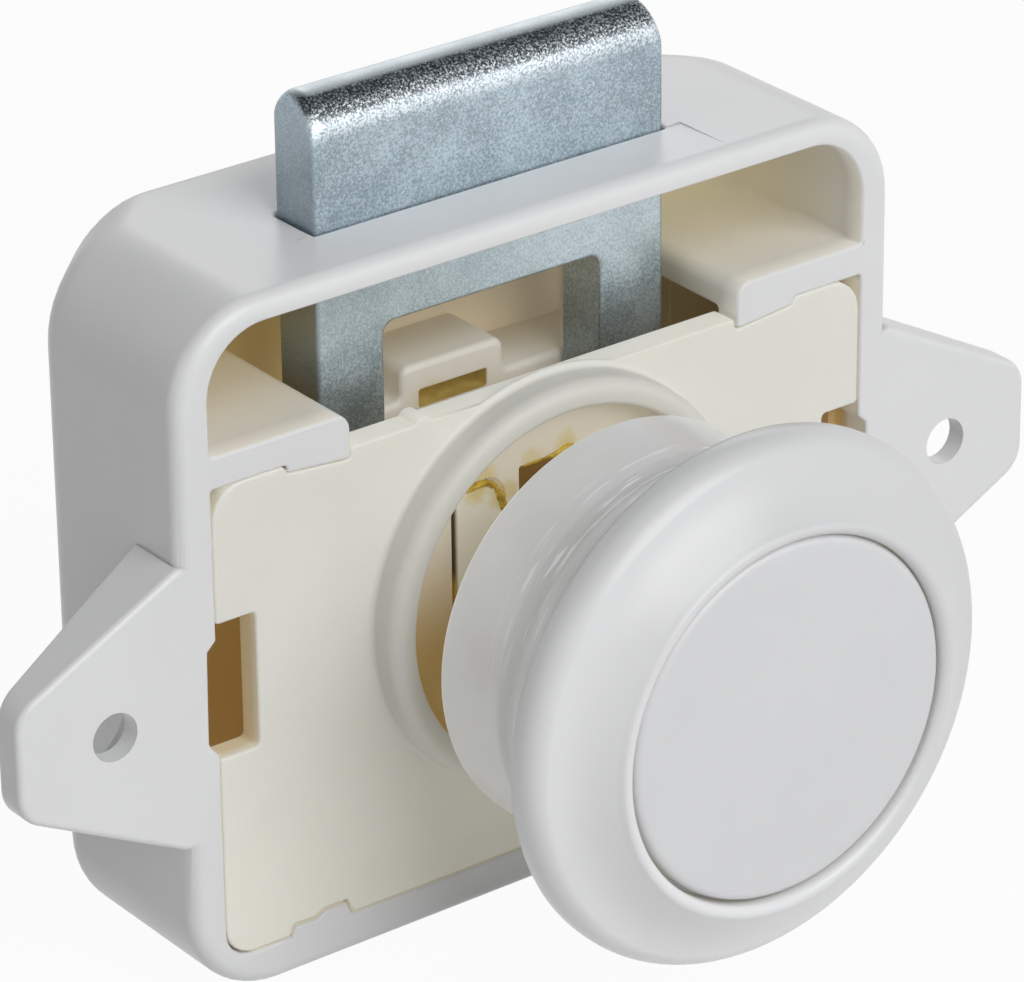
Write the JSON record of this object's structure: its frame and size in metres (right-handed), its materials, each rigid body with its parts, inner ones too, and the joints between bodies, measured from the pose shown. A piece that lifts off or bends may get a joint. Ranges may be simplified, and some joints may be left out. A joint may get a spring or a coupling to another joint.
{
  "type": "push button cabinet lock",
  "caption": "Push button furniture lock: open moulded case with screw ears, steel slide bolt, cover plate with ring boss, and a push knob in a round rosette.",
  "frame": {"origin": "on the knob's axis, in the plane of the case's open front, midway between the screw holes", "axes": "+X to the right seen from the knob, +Y from the knob into the case, +Z the way the bolt comes out"},
  "size_m": [0.0744, 0.0393, 0.0516],
  "materials": {
    "white_plastic": "smooth gloss",
    "ivory_plastic": "satin",
    "milky_plastic": "milky, slightly see-through",
    "zinc_plated_steel": "bluish zinc with a fine sparkling grain",
    "bright_steel": "bright drawn wire"
  },
  "bodies": {
    "housing": {"case": "white_plastic", "cover_plate": "ivory_plastic", "guide_block": "ivory_plastic", "spring_post": "bright_steel", "barrel_sleeve": "milky_plastic", "rosette_ring": "white_plastic", "knob_spring": "bright_steel"},
    "knob": {"knob_cap": "white_plastic", "knob_body": "white_plastic", "plunger": "ivory_plastic"},
    "bolt": {"bolt": "zinc_plated_steel", "left_lug": "ivory_plastic", "right_lug": "ivory_plastic", "left_cam_pin": "bright_steel", "right_cam_pin": "bright_steel", "lug_rivets": "bright_steel"},
    "latch": {"latch_wire": "bright_steel"}
  },
  "joints": [
    {"name": "knob_slide", "type": "slide", "parent": "housing", "child": "knob", "axis": [0, -1, 0], "range_m": [-0.0008, 0.0074], "deforming": ["knob_spring"]},
    {"name": "bolt_slide", "type": "slide", "parent": "housing", "child": "bolt", "axis": [0, 0, 1], "range_m": [-0.00785, 0.0009]},
    {"name": "latch_swing", "type": "hinge", "parent": "housing", "child": "latch", "pos_m": [0, 0.0116, -0.008], "axis": [0, 0, 1], "range_deg": [0, 9]}
  ],
  "couplings": [
    {"joint": "bolt_slide", "follows": "knob_slide", "ratio": -1.0541}
  ]
}
